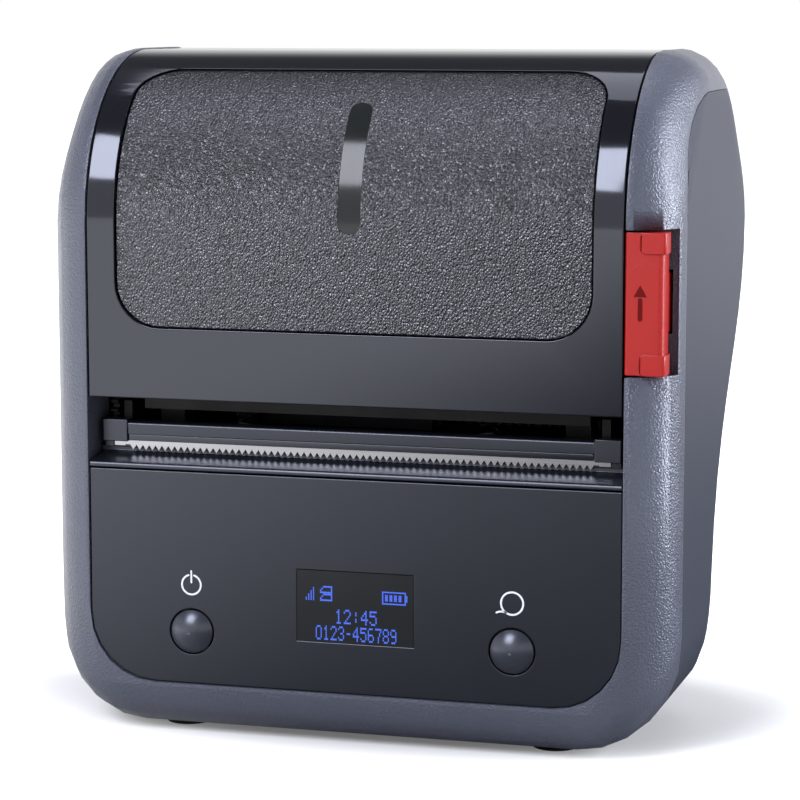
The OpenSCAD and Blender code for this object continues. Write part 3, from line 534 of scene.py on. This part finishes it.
# %% Dot signs
DIGITS = {
    "0": ".###.|#...#|#...#|#...#|#...#|#...#|.###.",
    "1": "..#..|.##..|..#..|..#..|..#..|..#..|.###.",
    "2": ".###.|#...#|....#|...#.|..#..|.#...|#####",
    "3": ".###.|#...#|....#|..##.|....#|#...#|.###.",
    "4": "...#.|..##.|.#.#.|#..#.|#####|...#.|...#.",
    "5": "#####|#....|####.|....#|....#|#...#|.###.",
    "6": ".###.|#....|#....|####.|#...#|#...#|.###.",
    "7": "#####|....#|...#.|...#.|..#..|..#..|..#..",
    "8": ".###.|#...#|#...#|.###.|#...#|#...#|.###.",
    "9": ".###.|#...#|#...#|.####|....#|....#|.###.",
    "-": ".....|.....|.....|.###.|.....|.....|.....",
    ":": ".....|..#..|..#..|.....|..#..|..#..|.....",
}
SIGNAL = "......#|......#|....#.#|....#.#|..#.#.#|..#.#.#|#.#.#.#|#.#.#.#"
LABELS = "..######|.#.....#|#......#|########|..######|.#.....#|#......#|########"
BATTERY = (
    "################.|#..............#.|#.##.##.##.##..##|#.##.##.##.##..##|"
    "#.##.##.##.##..##|#.##.##.##.##..##|#..............#.|################."
)


FILL = 0.86  # the lit share of a dot's width and height


def lit(bm, sign, x, z, step, tall):
    """Lights the dots of a sign, its upper left corner at x, z."""
    shape = Matrix.Diagonal((step * FILL, tall * FILL, 1, 1))
    for row, line in enumerate(sign.split("|")):
        for column, dot in enumerate(line):
            if dot == "#":
                spot = at(
                    x + (column + 0.5) * step, DISPLAY_FACE, z - (row + 0.5) * tall
                )
                bmesh.ops.create_grid(
                    bm, x_segments=1, y_segments=1, size=0.5 * MM,
                    matrix=Matrix.Translation(spot) @ ACROSS @ shape,
                )


def write(bm, text, x, z, step, tall):
    """A row of digits centred on x."""
    width = (len(text) * 6 - 1) * step
    for i, sign in enumerate(text):
        lit(bm, DIGITS[sign], x - width / 2 + i * 6 * step, z, step, tall)


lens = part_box("display_lens")
DISPLAY_FACE = lens[0].y / MM + FRONT + 0.01
for corner in lens:
    print("a corner of the lens:", [round(v / MM, 2) for v in corner])

bm = bmesh.new()
lit(bm, SIGNAL, -7.9, 28.3, 0.22, 0.30)
lit(bm, LABELS, -5.3, 28.6, 0.28, 0.34)
lit(bm, BATTERY, 5.9, 28.2, 0.27, 0.29)
write(bm, "12:45", 1.2, 24.6, 0.26, 0.37)
write(bm, "0123-456789", 1.2, 21.6, 0.225, 0.37)
display_dots = ink("display_dots", bm, LIT, 0.02)
print("dots:", len(display_dots.data.polygons) // 6)

# %% [markdown]
# ## The mark on the latch
#
# The latch opens the lid, so its thumb face carries an arrow that points up. The
# head is a disc with three corners, the shaft a short stroke, both in a darker
# red. The arrow rides on the latch.

# %% Arrow
LATCH_FACE = 0.5
latch_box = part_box("open_latch")
mark_x = latch_box[0].x / MM + 2.6
mark_z = (latch_box[0].z + latch_box[1].z) / 2 / MM
bm = bmesh.new()
disc(bm, at(mark_x, LATCH_FACE, mark_z + 1.9), 2.6, 3)
bar(bm, mark_x, mark_z - 2.4, mark_z + 0.7, LATCH_FACE, 0.8)
ink("latch_mark", bm, MARK, 0.06, "latch")
print("arrow at", round(mark_x, 2), round(mark_z, 2))

# %% [markdown]
# ## Floor, lamps and camera
#
# The printer stands on a pale floor. A large lamp stands in front, high and to
# the left, another hangs overhead, and a narrow one to the right, a little
# behind, draws a line along the rounded cheek.
#
# The walls are white near the floor and fade to a dark ceiling, which the upper
# curve of the lid reflects. To the camera the floor glows white, but the glow is
# turned down round the printer's foot: a painted shadow, under which the real
# shadow from the lamps also shows. To reflections the near floor is a
# dark table and its left side a bright card: this is what makes the panel fade
# from left to right. To diffuse light all of it is plain grey, so that the white
# doesn't put more light on the printer.

# %% Rays and ramps
def sums(owner, kind, a, b):
    """A Math node of that kind, on two sockets or numbers."""
    node = add(owner, "ShaderNodeMath", operation=kind)
    for into, value in zip(node.inputs, (a, b)):
        if isinstance(value, (int, float)):
            into.default_value = value
        else:
            owner.node_tree.links.new(value, into)
    return node.outputs[0]


def seen(owner):
    """Two values from the light path: 1 for the camera, 1 for glossy or transmission."""
    rays = add(owner, "ShaderNodeLightPath").outputs
    mirror = sums(owner, "MAXIMUM", rays["Is Glossy Ray"], rays["Is Transmission Ray"])
    return rays["Is Camera Ray"], mirror


def ramp(owner, value, low, high, first, last):
    """Takes low..high to first..last, smoothly."""
    node = add(owner, "ShaderNodeMapRange", interpolation_type="SMOOTHSTEP")
    names = ("From Min", "From Max", "To Min", "To Max")
    for name, number in zip(names, (low, high, first, last)):
        node.inputs[name].default_value = number
    owner.node_tree.links.new(value, node.inputs["Value"])
    return node.outputs["Result"]


def emptied(owner):
    """The same world or material, with no nodes in it."""
    owner.use_nodes = True
    owner.node_tree.nodes.clear()
    return owner


# %% Walls and ceiling
ROOM_LIGHT = 0.30  # what diffuse light gets from the room

world = emptied(bpy.data.worlds.new("studio"))
bpy.context.scene.world = world
camera_ray, mirror_ray = seen(world)
way = add(world, "ShaderNodeTexCoord")
up = add(world, "ShaderNodeSeparateXYZ")
wire(world, way, "Generated", up, "Vector")
walls = ramp(world, up.outputs["Z"], 0.28, 0.58, 1.0, 0.10)
strength = add(world, "ShaderNodeMix", data_type="FLOAT", A=ROOM_LIGHT)
world.node_tree.links.new(
    sums(world, "MAXIMUM", camera_ray, mirror_ray), strength.inputs["Factor"]
)
world.node_tree.links.new(walls, strength.inputs["B"])
sky = add(world, "ShaderNodeBackground", Color=(1, 1, 1, 1))
wire(world, strength, "Result", sky, "Strength")
wire(world, sky, "Background", add(world, "ShaderNodeOutputWorld"), "Surface")
print("the room gives diffuse light", ROOM_LIGHT)

# %% Floor
PAPER = 0.72  # how much light the floor throws back
TABLE = 0.06  # the same, as reflections see it
CARD = 2.3  # the glow of its left side in reflections

bm = bmesh.new()
bmesh.ops.create_grid(bm, x_segments=1, y_segments=1, size=6)
floor_mesh = bpy.data.meshes.new("floor")
bm.to_mesh(floor_mesh)
bm.free()
floor = bpy.data.objects.new("floor", floor_mesh)
bpy.context.scene.collection.objects.link(floor)

paper = emptied(bpy.data.materials.new("floor_paper"))
floor_mesh.materials.append(paper)
camera_ray, mirror_ray = seen(paper)
spot = add(paper, "ShaderNodeTexCoord")

# to the camera: distances in metres, with depth counted nearly double; the first ramp dims
# the glow close to the printer's foot, a painted shadow
squeeze = add(paper, "ShaderNodeVectorMath", operation="MULTIPLY")
squeeze.inputs[1].default_value = (1.0, 1.9, 1.0)
wire(paper, spot, "Object", squeeze, 0)
near = add(paper, "ShaderNodeVectorMath", operation="LENGTH")
wire(paper, squeeze, "Vector", near, 0)
camera_glow_with_painted_shadow = sums(
    paper, "MAXIMUM",
    ramp(paper, near.outputs["Value"], 0.058, 0.105, 0.14, 0.95),
    ramp(paper, near.outputs["Value"], 0.11, 0.50, 0.0, 1.0),
)

# to reflections: white far off, and a bright card on the left
away = add(paper, "ShaderNodeVectorMath", operation="LENGTH")
wire(paper, spot, "Object", away, 0)
across = add(paper, "ShaderNodeSeparateXYZ")
wire(paper, spot, "Object", across, "Vector")
to_mirror = sums(
    paper, "MAXIMUM",
    ramp(paper, away.outputs["Value"], 0.25, 0.90, 0.0, 1.0),
    ramp(paper, across.outputs["X"], 0.01, -0.20, 0.0, CARD),
)

glow = add(paper, "ShaderNodeEmission")
paper.node_tree.links.new(
    sums(
        paper, "ADD", sums(paper, "MULTIPLY", camera_ray, camera_glow_with_painted_shadow),
        sums(paper, "MULTIPLY", mirror_ray, to_mirror),
    ),
    glow.inputs["Strength"],
)
matte = add(paper, "ShaderNodeBsdfDiffuse")
paper.node_tree.links.new(
    ramp(paper, mirror_ray, 0.0, 1.0, PAPER, TABLE), matte.inputs["Color"]
)
both = add(paper, "ShaderNodeAddShader")
wire(paper, matte, "BSDF", both, 0)
wire(paper, glow, "Emission", both, 1)
wire(paper, both, "Shader", add(paper, "ShaderNodeOutputMaterial"), "Surface")
print("the floor throws back", PAPER)

# %% Lamps
COOL = (0.93, 0.955, 1.06)


def lamp(name, spot, size, power, aim=(0, 0, 0.06)):
    """A rectangular lamp at spot, turned to face aim."""
    light = bpy.data.lights.new(name, "AREA")
    light.shape = "RECTANGLE"
    light.size, light.size_y = size
    light.energy = power
    light.color = COOL
    obj = bpy.data.objects.new(name, light)
    obj.location = spot
    obj.rotation_euler = (Vector(aim) - Vector(spot)).to_track_quat("-Z", "Y").to_euler()
    bpy.context.scene.collection.objects.link(obj)


lamp("front_left", (-0.42, -1.02, 0.95), (0.62, 0.70), 19.0, aim=(0, 0, 0.08))
lamp("overhead", (0.00, 0.30, 1.10), (0.90, 0.60), 3.8)
lamp("right_side", (0.97, 0.30, 0.30), (0.18, 0.70), 15.0)

# %% Camera
LOOK_DOWN = 0.13618  # radians
TURN_LEFT = 0.28274

camera_data = bpy.data.cameras.new("camera")
camera_data.sensor_width = 36
camera_data.lens = 129.24
camera = bpy.data.objects.new("camera", camera_data)
camera.location = (0.14438, -0.50388, 0.12801)
camera.rotation_euler = (math.radians(90) - LOOK_DOWN, 0, TURN_LEFT)
bpy.context.scene.collection.objects.link(camera)
bpy.context.scene.camera = camera
bpy.context.scene.view_settings.view_transform = "Standard"
print("camera at", tuple(round(v, 3) for v in camera.location))
